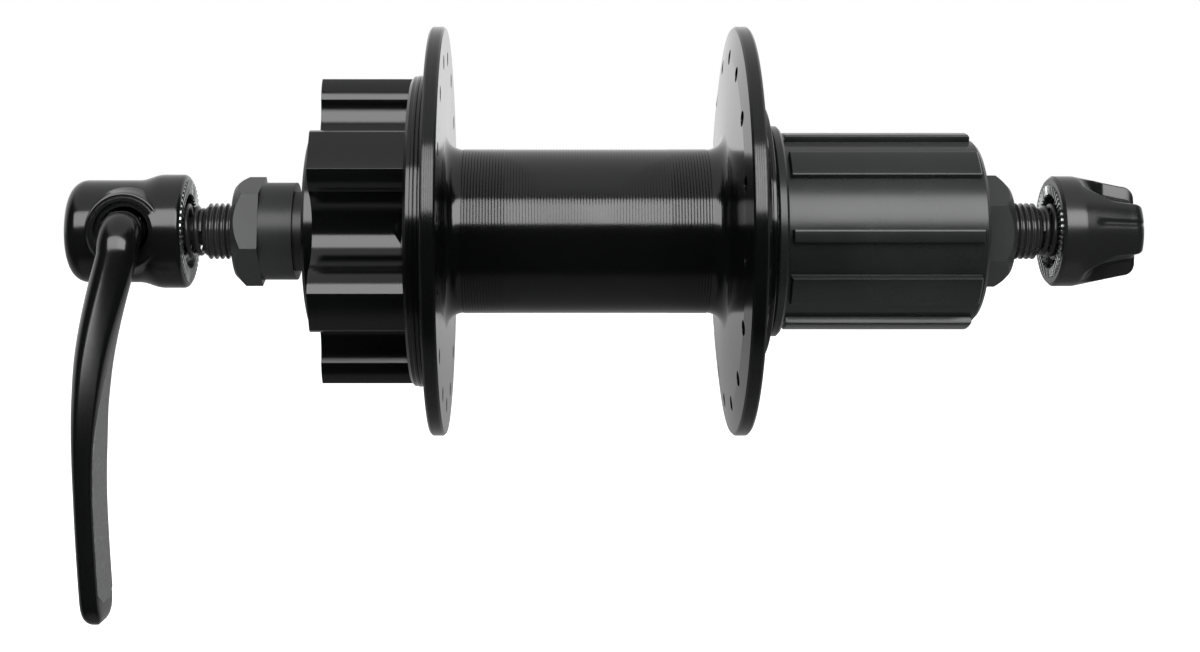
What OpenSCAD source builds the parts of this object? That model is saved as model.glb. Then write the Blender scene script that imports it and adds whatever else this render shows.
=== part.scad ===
// Rear hub for a six-bolt disc brake, with a splined freehub and a quick release.
// X runs along the axle from the lever side (-X) to the drive side (+X), Z is up.
// The origin is on the axle, midway between the faces that the dropouts clamp on.
// Angles round the axle are counted from the front (-Y) upwards.

/* [Axle] */
// Distance between the two dropout faces
over_locknut = 135; // [120:0.5:150]
// Length of the axle that stands out of each locknut
axle_end = 5.5; // [4:0.1:7]
// Outside diameter of the axle
axle_d = 10; // [10:0.1:12]
// Diameter of the axle's ends, which the dropouts go over
axle_end_d = 9.6; // [9:0.1:9.6]
// Width across the flats of both locknuts
locknut_flats = 17; // [15:0.5:20]
// Thickness of the left locknut
locknut_left_t = 4.7; // [3.5:0.1:6]
// Thickness of the right locknut
locknut_right_t = 5.2; // [3.5:0.1:5.6]
// Thickness of the washer under the right locknut
washer_t = 1.2; // [0.8:0.1:1.4]
// Diameter of the collar behind the left locknut
collar_d = 17.1; // [16:0.1:20]
// Length of that collar
collar_len = 5.8; // [5:0.1:6.2]

/* [Hub bearings] */
// Diameter of the balls that the hub runs on
hub_ball_d = 6.35; // [6:0.05:6.5]
// Radius of the circle of ball centres
hub_ball_circle = 9.7; // [9.6:0.05:10]
// Distance of the left ball circle from the left dropout face
left_ball_inset = 18.5; // [18:0.1:20]
// Distance of the right ball circle from the right dropout face
right_ball_inset = 12.2; // [12:0.1:12.6]

/* [Hub shell] */
// Diameter of both spoke flanges
flange_d = 71.5; // [68:0.5:80]
// Thickness of a flange at its rim
flange_t = 2.5; // [2:0.1:3.5]
// Distance of the left flange's inner face from the left dropout face
left_flange_inset = 36.8; // [36.5:0.1:42]
// Distance of the right flange's inner face, at its rim, from the right dropout face
right_flange_inset = 48.3; // [48.1:0.1:52]
// Distance from a flange's rim to the circle of its spoke holes
spoke_edge = 5.25; // [4:0.05:6]
// Spoke holes in each flange
spoke_count = 16; // [12:2:18]
// Diameter of a spoke hole
spoke_hole_d = 2.6; // [2.4:0.1:3]
// Outside diameter of the barrel
barrel_d = 28.7; // [27:0.1:34]
// Bore of the barrel
barrel_bore_d = 21.2; // [18:0.1:23]
// Radius of the fillets between barrel and flanges
barrel_fillet = 3; // [1:0.5:5]

/* [Disc mount] */
// Distance of the rotor face from the left dropout face
rotor_inset = 15.3; // [15:0.1:16]
// Diameter of the pilot that centres the rotor
pilot_d = 34.9; // [34:0.1:36]
// Length of the pilot
pilot_len = 2; // [1.5:0.1:3]
// Diameter of the circle of rotor bolts
rotor_pcd = 44; // [43:0.5:46]
// Tapping diameter of the rotor bolt holes
rotor_hole_d = 4.2; // [4:0.1:4.6]
// Depth of the rotor bolt holes
rotor_hole_depth = 10; // [7:0.5:12]
// Radius of the lobe round each rotor bolt
lobe_r = 5.7; // [5:0.1:6]
// Diameter over the lobes
lobe_over_d = 53.4; // [52:0.1:55]
// Radius of the floor between the lobes
valley_r = 17.6; // [17.5:0.1:18]

/* [Freehub] */
// Diameter over the splines
spline_d = 34.6; // [34:0.1:35.4]
// Height of the splines
spline_height = 1.3; // [1:0.1:1.4]
// Width of a spline, in degrees
spline_width = 19; // [14:1:22]
// Width of the one narrow spline that keys the sprockets, in degrees
key_width = 7.5; // [6:0.5:9]
// Distance of the freehub body's outboard end from the right dropout face
freehub_inset = 6.2; // [6.1:0.1:6.7]
// How far the lip that the cassette stops on stands over the splines
lip_rise = 1.2; // [0.8:0.1:2]
// Teeth in the ratchet
ratchet_teeth = 24; // [24:12:36]
// Diameter of the small balls of the freehub
small_ball_d = 3.175; // [3:0.025:3.2]

/* [Quick release] */
// Diameter of the rod
rod_d = 5; // [4.6:0.1:5.4]
// Clearance between the rod and the bore of the axle
rod_clearance = 0.25; // [0.2:0.05:0.5]
// Gap between the left dropout face and the cam housing
housing_gap = 8.5; // [7:0.1:9]
// Length of the cam housing
housing_len = 21.1; // [20:0.1:24]
// Diameter of the cam housing's body
housing_d = 18; // [17:0.5:20]
// Throw of the cam to each side of its axis
cam_throw = 0.9; // [0.6:0.05:1]
// Length of the lever from its pivot to its tip
lever_len = 65.5; // [55:0.5:80]
// Diameter of the lever at its root
lever_root_d = 7.1; // [6.6:0.1:7.4]
// Width of the lever's paddle
paddle_w = 11; // [9:0.5:14]
// Thickness of the lever near its tip
paddle_t = 5; // [4:0.1:6.5]
// Gap between the right dropout face and the adjusting nut
nut_gap = 7.8; // [7:0.1:9]
// Length of the adjusting nut
nut_len = 14.7; // [13:0.1:17]
// Diameter of the adjusting nut's rim
nut_d = 19.4; // [19:0.1:22]

/* [Hidden] */

$fn = 96;
eps = 0.01;
// Small bevel on an edge
bevel = 0.5;
// Radial clearance of pieces that screw or press together
snug = 0.02;
// Radial clearance of pieces that turn in each other
running = 0.05;
// Clearance of a ball in its race
race_gap = 0.1;

// Axle
left_face = -over_locknut / 2;
right_face = over_locknut / 2;
axle_r = axle_d / 2;
axle_end_r = axle_end_d / 2;
axle_bore_r = rod_d / 2 + rod_clearance;
thread_bore_r = axle_r + snug;
axle_left_end = left_face - axle_end;
axle_right_end = right_face + axle_end;
locknut_front_turn = 12;
locknut_right_turn = -3;
nut_chamfer = 2;

// Hub bearings: positions along X
ball_r = hub_ball_d / 2;
race_r = ball_r + race_gap;
// Least gap between two balls of a row; each row holds as many balls as fit
hub_ball_gap = 0.28;
hub_ball_count = floor(180 / asin((hub_ball_d + hub_ball_gap) / (2 * hub_ball_circle)));
left_ball_x = left_face + left_ball_inset;
right_ball_x = right_face - right_ball_inset;
cone_shoulder_r = hub_ball_circle - 1.15;
cone_barrel_r = cone_shoulder_r - 0.65;
cone_nose_r = hub_ball_circle - 2.8;
cone_nose_len = race_r - 0.275;
cone_shoulder_out = race_r + 0.225;
cone_flats_out = race_r + 1.825;
cone_flat_half = cone_barrel_r - 1;
seal_in = race_r + 0.325;
seal_out = race_r + 1.725;
cup_wall_r = hub_ball_circle + race_r + 0.625;
cup_bore_r = hub_ball_circle - 1.1;
cup_mouth_r = hub_ball_circle + 2.2;
cup_front = 2.4;
cup_back = race_r + 1.525;
seal_r = cone_shoulder_r + 0.35;
cap_bore_r = seal_r + 0.3;
cap_back = ball_r + 0.35;

// Left stack, from the locknut inwards
collar_left_x = left_face + locknut_left_t;
cone_left_x = collar_left_x + collar_len;
// Right stack, from the locknut inwards
washer_right_x = right_face - locknut_right_t;
cone_right_x = washer_right_x - washer_t;

// Disc mount
rotor_face_x = left_face + rotor_inset;
pilot_x = rotor_face_x - pilot_len;
pilot_r = pilot_d / 2;
cap_seat_r = cup_wall_r + 0.9;
mount_ring_r = lobe_over_d / 2 + 0.5;
left_flange_in = over_locknut / 2 - left_flange_inset;
right_flange_in = over_locknut / 2 - right_flange_inset;
left_rim_x = -left_flange_in - flange_t;
mount_ring_x = left_rim_x - 2.8;
mount_flare_x = mount_ring_x - 1.6;
mount_core_r = valley_r - 1;
bolt_circle_r = rotor_pcd / 2;
lobe_count = 6;
lobe_pitch = 360 / lobe_count;
// The circle that is tangent to two lobes and to the valley floor
lobe_drop = valley_r - lobe_r;
tangent_centre_r = (pow(bolt_circle_r, 2) - pow(lobe_drop, 2))
    / (2 * (bolt_circle_r * cos(lobe_pitch / 2) - lobe_drop));
tangent_r = tangent_centre_r - valley_r;
// The valley is a little larger, so that it cuts the lobes cleanly
valley_bite = 0.4;
valley_centre_r = tangent_centre_r + valley_bite;
valley_cut_r = tangent_r + valley_bite;
// Radius at which valley and lobe meet
touch_share = lobe_r / (lobe_r + tangent_r);
touch_x = bolt_circle_r + touch_share * (tangent_centre_r * cos(lobe_pitch / 2) - bolt_circle_r);
touch_y = touch_share * tangent_centre_r * sin(lobe_pitch / 2);
touch_r = norm([touch_x, touch_y]);

// Hub shell
flange_r = flange_d / 2;
spoke_circle_r = flange_r - spoke_edge;
barrel_r = barrel_d / 2;
barrel_bore_r = barrel_bore_d / 2;
right_rim_x = right_flange_in + flange_t;
right_dish = 1.4;
rim_bevel = 0.35;
shell_end_x = right_rim_x + 3.2;
shell_cone_r = 24.6;
shell_end_r = 20.8;
web_x = right_flange_in - 6.2;
boss_len = 4.1;
boss_r = 9;
bolt_r = 7.5;
left_spoke_turn = 70.4;
right_spoke_turn = 81.7;

// Freehub: positions along X
spline_r = spline_d / 2;
spline_root_r = spline_r - spline_height;
lip_r = spline_r + lip_rise;
spline_count = 9;
spline_pitch = 40;
spline_turn = 3;
lip_x = shell_end_x + 0.5;
lip_t = 1.8;
spline_x = lip_x + lip_t + 0.8;
freehub_end = right_face - freehub_inset;
spline_end = freehub_end - 1.2;
small_r = small_ball_d / 2;
small_race_r = small_r + race_gap;
small_circle = spline_root_r - 2.7;
small_ball_gap = 0.15;
small_ball_count = floor(180 / asin((small_ball_d + small_ball_gap) / (2 * small_circle)));
inner_row_x = shell_end_x + 5.1;
outer_row_x = right_ball_x - 5;
core_r = small_circle - small_r - race_gap;
core_flange_r = small_circle + 0.7;
core_flange_end = inner_row_x - 1.1;
core_end = outer_row_x + 1.1;
core_thread_x = core_end - 6;
core_thread_r = hub_ball_circle + 0.6;
bolt_head_r = 9.1;
bolt_head_x = core_thread_x - 4;
bolt_head_t = 3.6;
bolt_bore_r = axle_r + 0.6;
bolt_socket_r = bolt_bore_r + 1;
bolt_socket_depth = 2.6;
ring_seat_r = small_circle + 0.6;
ring_lip_r = ring_seat_r - 0.9;
ring_end = right_ball_x + ball_r + 1.325;
body_bore_r = ring_seat_r + 0.35;
seal_seat_r = small_circle + 1.9;
seal_seat_depth = 2;
ratchet_tip_r = small_circle - 0.95;
ratchet_root_r = small_circle + 0.2;
ratchet_x = inner_row_x + 2.6;
ratchet_end = ratchet_x + 9;

// Pawls, drawn in a plane across the axle
pawl_pivot_r = small_circle - 3.4;
pawl_round = 1.5;
pawl_tip_r = small_circle - 0.2;
pawl_heel_r = small_circle - 1.6;
pawl_tip_turn = 24.5;
pawl_gap_turn = 3.0;
// The pawls are drawn engaged, and then turned in by this much, clear of the ratchet's teeth
pawl_lift = 14;
pawl_side_gap = 0.3;
pawl_end_wall = 0.5;
pawl_x0 = ratchet_x + pawl_end_wall;
pawl_x1 = ratchet_end - pawl_end_wall;
pawl_spring_x = (ratchet_x + ratchet_end) / 2;
pawl_groove_r = small_circle - 2.3;
pawl_wire_r = 0.35;
pawl_count = 2;
// Pocket of a pawl: its floor, and how far it reaches before and behind the pivot
pawl_floor_r = pawl_pivot_r - pawl_round - running;
pawl_floor_rise = 0.35;
pawl_floor_len = 6.7;
pawl_mouth_len = 7.5;
pawl_back_len = 1.2;

// Quick release
rod_r = rod_d / 2;
housing_x = left_face - housing_gap;
housing_end = housing_x - housing_len;
housing_r = housing_d / 2;
housing_rim_r = housing_r + 1;
housing_rim_len = 4.4;
housing_neck_len = 7.8;
housing_round = 3.5;
pivot_x = housing_end + 11.5;
lever_root_r = lever_root_d / 2;
journal_r = lever_root_r + 0.65;
pivot_boss_r = journal_r + 2.5;
pivot_boss_y = housing_r + 0.5;
boss_recess_r = journal_r + 0.9;
boss_recess_depth = 0.7;
cam_r = journal_r - cam_throw;
cam_half_w = 2.9;
back_journal_r = 2.2;
cam_nut_r = 3.4;
cam_nut_gap = 0.1;
cam_nut_len = 1.9;
cam_nut_slot_w = 1.2;
cam_nut_slot_depth = 0.3;
lever_side_gap = 0.3;
cam_screw_r = 1.6;
cam_screw_len = 1.4;
cam_shank_len = 1;
cam_shank_r = 2.6;
spring_seat_r = 6.4;
spring_seat_depth = 3.6;
teeth_r_in = 6.6;
housing_teeth_r = housing_r;
teeth_t = 1.4;
teeth_proud = 0.2;
teeth_count = 40;
tooth_depth = 0.35;
tooth_w = 0.4;
eye_side_gap = 0.25;
eye_wall = 1.6;
eye_half_w = 2.3;
eye_slot_r = cam_r + eye_side_gap;
eye_reach = cam_throw - 0.1;
eye_x = pivot_x - cam_throw;
pocket_half_w = eye_half_w + 0.3;
pocket_half_h = eye_slot_r + eye_wall + eye_reach + 0.35;
pocket_x = eye_x - eye_slot_r - eye_wall - 0.35;
lever_y = -(pivot_boss_y + lever_side_gap + lever_root_r);
elbow_r = lever_root_r + 0.15;
elbow_y = lever_y + elbow_r;
lever_steps = 18;
lever_bow = 1.5;
lever_lean = 2.2;
// Shares of the lever's length: to its full lean, to its full width, and of its rounded tip
lean_share = 1 / 3;
widen_share = 1 / 1.6;
tip_share_t = 0.05;
tip_share_w = 0.09;

// Adjusting nut
nut_x = right_face + nut_gap;
nut_end = nut_x + nut_len;
nut_r = nut_d / 2;
nut_rim_len = 3.7;
nut_nose_r = nut_r - 1.9;
nut_round = 2;
nut_teeth_r = nut_r - 1.5;
nut_seat_depth = 2.9;
core_insert_r = 4.5;
core_flange_t = 1;
core_insert_end = nut_end - 3.6;
friction_t = 1.6;
rod_end_room = 0.6;
flute_count = 3;
flute_turn = 63;
flute_half_w = 3.3;
flute_fall = 0.33;
groove_turn = 10;
groove_half_w = 1.4;
groove_depth = 0.35;
rod_end = core_insert_end + friction_t + rod_end_room;

// Springs
wire_r = 0.4;
spring_gap = 0.2;
spring_small_r = axle_bore_r + 0.75;
spring_large_r = 5.6;
spring_turns = 3.5;
spring_sides = 8;
spring_steps = 24;

// ---- helpers ----

// A bar or bore along X
module rod_x(x0, x1, r) {
    translate([x0, 0, 0])
    rotate([0, 90, 0])
    cylinder(h = x1 - x0, r = r);
}

// A bar or bore along Y
module rod_y(y0, y1, r) {
    translate([0, y0, 0])
    rotate([-90, 0, 0])
    cylinder(h = y1 - y0, r = r);
}

// Turns a half section round the axle; its points are [radius, x]
module turned() {
    rotate([0, 90, 0])
    rotate_extrude()
    children();
}

// Extrudes along X an outline seen from the lever side: first coordinate to the front, second up
module prism_x(x0, x1) {
    translate([x1, 0, 0])
    rotate([90, 0, -90])
    linear_extrude(height = x1 - x0)
    children();
}

// Extrudes along Y an outline drawn in X and Z
module prism_y(y0, y1) {
    translate([0, y1, 0])
    rotate([90, 0, 0])
    linear_extrude(height = y1 - y0)
    children();
}

// Turns a piece that is drawn at the front upwards by an angle
module at_turn(angle) {
    rotate([-angle, 0, 0])
    children();
}

// A ring along X
module ring_x(x0, x1, r_out, r_in) {
    difference() {
        rod_x(x0, x1, r_out);
        rod_x(x0 - 1, x1 + 1, r_in);
    }
}

// A full set of balls on a circle round the axle
module ball_row(x, circle_r, r, count) {
    for (i = [0 : count - 1])
        at_turn(i * 360 / count)
        translate([x, -circle_r, 0])
        sphere(r = r);
}

// A ring of fine radial grooves in a flat face at x
module face_teeth(x, r_in, r_out, count) {
    for (i = [0 : count - 1])
        at_turn(i * 360 / count)
        translate([x, -(r_in + r_out) / 2, 0])
        cube([2 * tooth_depth, r_out - r_in + 1, tooth_w], center = true);
}

function circle_point(r, a) = [r * cos(a), r * sin(a)];

// ---- axle group ----

module axle() {
    color("#2b2b2b")
    difference() {
        turned()
        polygon([
            [0, axle_left_end],
            [axle_end_r - bevel, axle_left_end],
            [axle_end_r, axle_left_end + bevel],
            [axle_end_r, left_face],
            [axle_r, left_face],
            [axle_r, right_face],
            [axle_end_r, right_face],
            [axle_end_r, axle_right_end - bevel],
            [axle_end_r - bevel, axle_right_end],
            [0, axle_right_end]
        ]);
        rod_x(axle_left_end - 1, axle_right_end + 1, axle_bore_r);
    }
}

// A hexagon nut whose chamfered face looks along side: -1 or 1
module locknut(face_x, t, side, turn) {
    hex_r = locknut_flats / 2 / cos(30);
    chamfer_r = locknut_flats / 2 - bevel;
    x0 = side < 0 ? face_x : face_x - t;
    difference() {
        intersection() {
            at_turn(turn)
            translate([x0, 0, 0])
            rotate([0, 90, 0])
            cylinder(h = t, r = hex_r, $fn = 6);
            turned()
            polygon([
                [0, face_x],
                [chamfer_r, face_x],
                [hex_r + 0.2, face_x - side * nut_chamfer],
                [hex_r + 0.2, face_x - side * (t + 1)],
                [0, face_x - side * (t + 1)]
            ]);
        }
        rod_x(x0 - 1, x0 + t + 1, thread_bore_r);
    }
}

module locknut_left() {
    color("#1d1e1f")
    locknut(left_face, locknut_left_t, -1, locknut_front_turn);
}

module locknut_right() {
    color("#1d1e1f")
    locknut(right_face, locknut_right_t, 1, locknut_right_turn);
}

module collar_left() {
    color("#2a2b2c")
    difference() {
        rod_x(collar_left_x, cone_left_x, collar_d / 2);
        rod_x(collar_left_x - 1, cone_left_x + 1, thread_bore_r);
    }
}

module washer_right() {
    color("#2a2b2c")
    ring_x(cone_right_x, washer_right_x, cone_shoulder_r, thread_bore_r);
}

// A bearing cone; side is the way its outer end looks: -1 or 1
module cone(ball_x, end_x, side) {
    shoulder_x = ball_x + side * cone_shoulder_out;
    nose_x = ball_x - side * cone_nose_len;
    flats_x = ball_x + side * cone_flats_out;
    difference() {
        turned()
        difference() {
            polygon([
                [thread_bore_r, end_x],
                [cone_barrel_r, end_x],
                [cone_barrel_r, shoulder_x],
                [cone_shoulder_r, shoulder_x],
                [cone_shoulder_r, ball_x],
                [cone_nose_r, ball_x],
                [cone_nose_r, nose_x],
                [thread_bore_r, nose_x]
            ]);
            translate([hub_ball_circle, ball_x])
            circle(r = race_r);
        }
        for (up = [-1, 1])
            translate([(end_x + flats_x) / 2, 0, up * (cone_flat_half + 5)])
            cube([abs(end_x - flats_x), 30, 10], center = true);
    }
}

module cone_left() {
    color("silver")
    cone(left_ball_x, cone_left_x, -1);
}

module cone_right() {
    color("silver")
    cone(right_ball_x, cone_right_x, 1);
}

// The rubber seal on a cone, just outside the ball circle
module cone_seal(ball_x, side) {
    x_in = ball_x + side * seal_in;
    x_out = ball_x + side * seal_out;
    difference() {
        rod_x(min(x_in, x_out), max(x_in, x_out), seal_r);
        rod_x(min(x_in, x_out) - 1, max(x_in, x_out) + 1, cone_barrel_r + snug);
    }
}

module cone_seal_left() {
    color("#111111")
    cone_seal(left_ball_x, -1);
}

module cone_seal_right() {
    color("#111111")
    cone_seal(right_ball_x, 1);
}

// ---- hub shell group ----

// A set of equal rods on a circle, one for each rotor bolt or for each valley between two
module mount_rods(x0, x1, circle_r, r, shift) {
    for (i = [0 : lobe_count - 1])
        at_turn(lobe_pitch * (i + shift))
        translate([0, -circle_r, 0])
        rod_x(x0, x1, r);
}

// The lobes of the disc mount: a drum, less what lies outside the lobes and the valleys
module disc_lobes() {
    x0 = rotor_face_x;
    x1 = mount_ring_x + 1;
    difference() {
        rod_x(x0, x1, lobe_over_d / 2);
        difference() {
            ring_x(x0 - 1, x1 + 1, lobe_over_d / 2 + 2, touch_r);
            mount_rods(x0 - 2, x1 + 2, bolt_circle_r, lobe_r, 0.5);
        }
        mount_rods(x0 - 1, x1 + 1, valley_centre_r, valley_cut_r, 0);
    }
}

// Half section of everything on the shell that is round
module shell_section() {
    polygon([
        [0, pilot_x],
        [pilot_r - bevel, pilot_x],
        [pilot_r, pilot_x + bevel],
        [pilot_r, rotor_face_x + eps],
        [mount_core_r, rotor_face_x + eps],
        [mount_core_r, mount_flare_x],
        [mount_ring_r - bevel, mount_ring_x - bevel],
        [mount_ring_r, mount_ring_x],
        [mount_ring_r, left_rim_x - bevel],
        [flange_r - 1.2, left_rim_x],
        [flange_r - rim_bevel, left_rim_x],
        [flange_r, left_rim_x + rim_bevel],
        [flange_r, -left_flange_in - rim_bevel],
        [flange_r - rim_bevel, -left_flange_in],
        [barrel_r, -left_flange_in],
        [barrel_r, right_flange_in - right_dish],
        [barrel_r + barrel_fillet, right_flange_in - right_dish],
        [spoke_circle_r, right_flange_in - right_dish / 2],
        [flange_r - rim_bevel, right_flange_in],
        [flange_r, right_flange_in + rim_bevel],
        [flange_r, right_rim_x - rim_bevel],
        [flange_r - rim_bevel, right_rim_x],
        [shell_cone_r + 1.2, right_rim_x - 0.1],
        [shell_cone_r, right_rim_x + 1.2],
        [shell_end_r + 0.8, shell_end_x - 0.6],
        [shell_end_r, shell_end_x],
        [boss_r, shell_end_x],
        [boss_r, shell_end_x + boss_len],
        [0, shell_end_x + boss_len]
    ]);
}

// The fillet between the barrel and a flange face at x; into is the way to the hub centre: 1 or -1
module barrel_fillet_section(x, into) {
    difference() {
        translate([barrel_r - 0.2, into > 0 ? x - 0.2 : x - barrel_fillet])
        square([barrel_fillet + 0.2, barrel_fillet + 0.2]);
        translate([barrel_r + barrel_fillet, x + into * barrel_fillet])
        circle(r = barrel_fillet);
    }
}

module spoke_holes(x, turn) {
    for (i = [0 : spoke_count - 1])
        at_turn(turn + i * 360 / spoke_count)
        translate([0, -spoke_circle_r, 0])
        rod_x(x - 5, x + 5, spoke_hole_d / 2);
}

module hub_shell() {
    color("#1b1c1c")
    difference() {
        union() {
            turned()
            shell_section();
            turned()
            barrel_fillet_section(-left_flange_in, 1);
            turned()
            barrel_fillet_section(right_flange_in - right_dish, -1);
            disc_lobes();
        }
        // Seats of the dust cap and the bearing cup, barrel bore and fixing bolt
        rod_x(pilot_x - 1, left_ball_x - cup_front - 0.1, cap_seat_r);
        rod_x(pilot_x - 1, left_ball_x + cup_back, cup_wall_r);
        rod_x(pilot_x - 1, web_x, barrel_bore_r);
        rod_x(web_x - 1, shell_end_x + boss_len + 1, bolt_r);
        mount_rods(rotor_face_x - 1, rotor_face_x + rotor_hole_depth, bolt_circle_r,
            rotor_hole_d / 2, 0.5);
        spoke_holes(-left_flange_in - flange_t / 2, left_spoke_turn);
        spoke_holes(right_flange_in + flange_t / 2, right_spoke_turn);
    }
}

// A bearing cup; back is the way towards the hub centre: 1 or -1
module cup_section(ball_x, back, wall_r) {
    difference() {
        polygon([
            [cup_bore_r, ball_x + back * cup_back],
            [cup_bore_r, ball_x],
            [cup_mouth_r, ball_x],
            [cup_mouth_r, ball_x - back * cup_front],
            [wall_r, ball_x - back * cup_front],
            [wall_r, ball_x + back * cup_back]
        ]);
        translate([hub_ball_circle, ball_x])
        circle(r = race_r);
    }
}

module cup_left() {
    color("silver")
    turned()
    cup_section(left_ball_x, 1, cup_wall_r - snug);
}

module dust_cap_left() {
    color("#303132")
    ring_x(pilot_x + 0.2, left_ball_x - cap_back, cap_seat_r - snug, cap_bore_r);
}

module dust_cap_right() {
    color("#303132")
    ring_x(right_ball_x + cap_back, ring_end - 0.2, ring_lip_r - snug, cap_bore_r);
}

module fixing_bolt() {
    color("silver")
    difference() {
        union() {
            rod_x(web_x + 0.5, bolt_head_x + 1, bolt_r - snug);
            rod_x(bolt_head_x, bolt_head_x + bolt_head_t, bolt_head_r);
        }
        rod_x(web_x - 1, bolt_head_x + bolt_head_t + 1, bolt_bore_r);
        // Hexagon socket for the fitting key
        translate([bolt_head_x + bolt_head_t - bolt_socket_depth, 0, 0])
        rotate([0, 90, 0])
        cylinder(h = bolt_head_t, r = bolt_socket_r, $fn = 6);
    }
}

// The room that a pawl rocks in, for a pawl whose pivot is at the front
module pawl_pocket() {
    translate([0, -pawl_pivot_r, 0])
    rod_x(pawl_x0, pawl_x1, pawl_round + running);
    prism_x(pawl_x0, pawl_x1)
    polygon([
        [pawl_floor_r, 0.5],
        [pawl_floor_r + pawl_floor_rise, pawl_floor_len],
        [core_flange_r, pawl_mouth_len],
        [core_flange_r, -pawl_back_len],
        [pawl_pivot_r, -pawl_back_len]
    ]);
}

module freehub_core() {
    color("#8a8d90")
    difference() {
        turned()
        difference() {
            polygon([
                [bolt_r + running, shell_end_x],
                [core_flange_r, shell_end_x],
                [core_flange_r, core_flange_end],
                [core_r, inner_row_x],
                [core_r, core_end],
                [bolt_r + running, core_end]
            ]);
            translate([small_circle, inner_row_x])
            circle(r = small_race_r);
        }
        rod_x(shell_end_x - 1, shell_end_x + boss_len + 0.2, boss_r + snug);
        rod_x(bolt_head_x, core_end + 1, bolt_head_r + 0.15);
        rod_x(core_thread_x, core_end + 1, core_thread_r);
        for (i = [0 : pawl_count - 1])
            at_turn(i * 360 / pawl_count)
            pawl_pocket();
        // Groove of the ring spring
        ring_x(pawl_spring_x - 0.5, pawl_spring_x + 0.5, core_r + 1, pawl_groove_r - 0.45);
    }
}

module race_ring() {
    color("silver")
    turned()
    difference() {
        polygon([
            [cup_bore_r, core_thread_x + 0.6],
            [core_thread_r - snug, core_thread_x + 0.6],
            [core_thread_r - snug, core_end],
            [ring_seat_r, core_end],
            [ring_seat_r, ring_end],
            [ring_lip_r, ring_end],
            [ring_lip_r, right_ball_x + cup_front],
            [cup_mouth_r, right_ball_x + cup_front],
            [cup_mouth_r, right_ball_x],
            [cup_bore_r, right_ball_x]
        ]);
        translate([hub_ball_circle, right_ball_x])
        circle(r = race_r);
        translate([small_circle, outer_row_x])
        circle(r = small_race_r);
    }
}

module pawl_spring() {
    color("silver")
    turned()
    translate([pawl_groove_r, pawl_spring_x])
    circle(r = pawl_wire_r, $fn = 24);
}

module pawl(turn) {
    x0 = pawl_x0 + pawl_side_gap;
    x1 = pawl_x1 - pawl_side_gap;
    color("silver")
    at_turn(turn)
    translate([0, -pawl_pivot_r, 0])
    at_turn(pawl_lift)
    translate([0, pawl_pivot_r, 0])
    difference() {
        union() {
            translate([0, -pawl_pivot_r, 0])
            rod_x(x0, x1, pawl_round);
            prism_x(x0, x1)
            polygon([
                [pawl_pivot_r - pawl_round + 0.15, 0.6],
                circle_point(pawl_heel_r, pawl_tip_turn),
                circle_point(pawl_tip_r, pawl_tip_turn),
                [pawl_pivot_r + pawl_round - 0.15, 0]
            ]);
        }
        // Notch that the ring spring lies in
        ring_x(pawl_spring_x - 0.6, pawl_spring_x + 0.6, ratchet_root_r + 1, pawl_groove_r - 0.8);
    }
}

module pawl_a() {
    pawl(0);
}

module pawl_b() {
    pawl(360 / pawl_count);
}

module balls_left() {
    color("white")
    ball_row(left_ball_x, hub_ball_circle, ball_r, hub_ball_count);
}

module balls_right() {
    color("white")
    ball_row(right_ball_x, hub_ball_circle, ball_r, hub_ball_count);
}

// ---- freehub ----

// A sector of a ring, wide enough to cut or fill a stretch of the circumference
module sector(r, from_a, to_a) {
    mid = (from_a + to_a) / 2;
    reach = 1.3 * r;
    intersection() {
        circle(r = r);
        polygon([
            [0, 0],
            circle_point(reach, from_a),
            circle_point(reach, mid),
            circle_point(reach, to_a)
        ]);
    }
}

module spline_outline() {
    difference() {
        for (i = [0 : spline_count - 1]) {
            top = spline_turn + i * spline_pitch + spline_width / 2;
            low = top - spline_width;
            sector(spline_r, low, i == 0 ? low + key_width : top);
        }
        circle(r = spline_root_r - 0.8);
    }
}

// Saw teeth inside the body; each steep face stops a pawl tip
module ratchet_outline() {
    pitch = 360 / ratchet_teeth;
    start = pawl_tip_turn + pawl_gap_turn;
    polygon([
        for (i = [0 : ratchet_teeth - 1])
            for (end = [0, 1])
                circle_point(end == 0 ? ratchet_tip_r : ratchet_root_r,
                    start + (i + end * 0.98) * pitch)
    ]);
}

module freehub_body() {
    color("#232425")
    difference() {
        union() {
            turned()
            polygon([
                [0, lip_x],
                [lip_r - 0.3, lip_x],
                [lip_r, lip_x + 0.3],
                [lip_r, lip_x + lip_t - bevel],
                [lip_r - bevel, lip_x + lip_t],
                [spline_root_r, lip_x + lip_t],
                [spline_root_r, freehub_end - 0.8],
                [spline_root_r - 0.8, freehub_end],
                [0, freehub_end]
            ]);
            prism_x(spline_x, spline_end)
            spline_outline();
        }
        rod_x(lip_x - 1, lip_x + seal_seat_depth, seal_seat_r);
        rod_x(lip_x - 1, inner_row_x, body_bore_r);
        rod_x(lip_x - 1, freehub_end + 1, ratchet_tip_r);
        rod_x(outer_row_x, freehub_end + 1, body_bore_r);
        prism_x(ratchet_x, ratchet_end)
        ratchet_outline();
        for (x = [inner_row_x, outer_row_x])
            turned()
            translate([small_circle, x])
            circle(r = small_race_r);
    }
}

module freehub_seal() {
    color("#111111")
    ring_x(lip_x + 0.1, lip_x + seal_seat_depth - 0.1, seal_seat_r - snug, core_flange_r + running);
}

module freehub_balls_inner() {
    color("white")
    ball_row(inner_row_x, small_circle, small_r, small_ball_count);
}

module freehub_balls_outer() {
    color("white")
    ball_row(outer_row_x, small_circle, small_r, small_ball_count);
}

// ---- quick release ----

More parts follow.
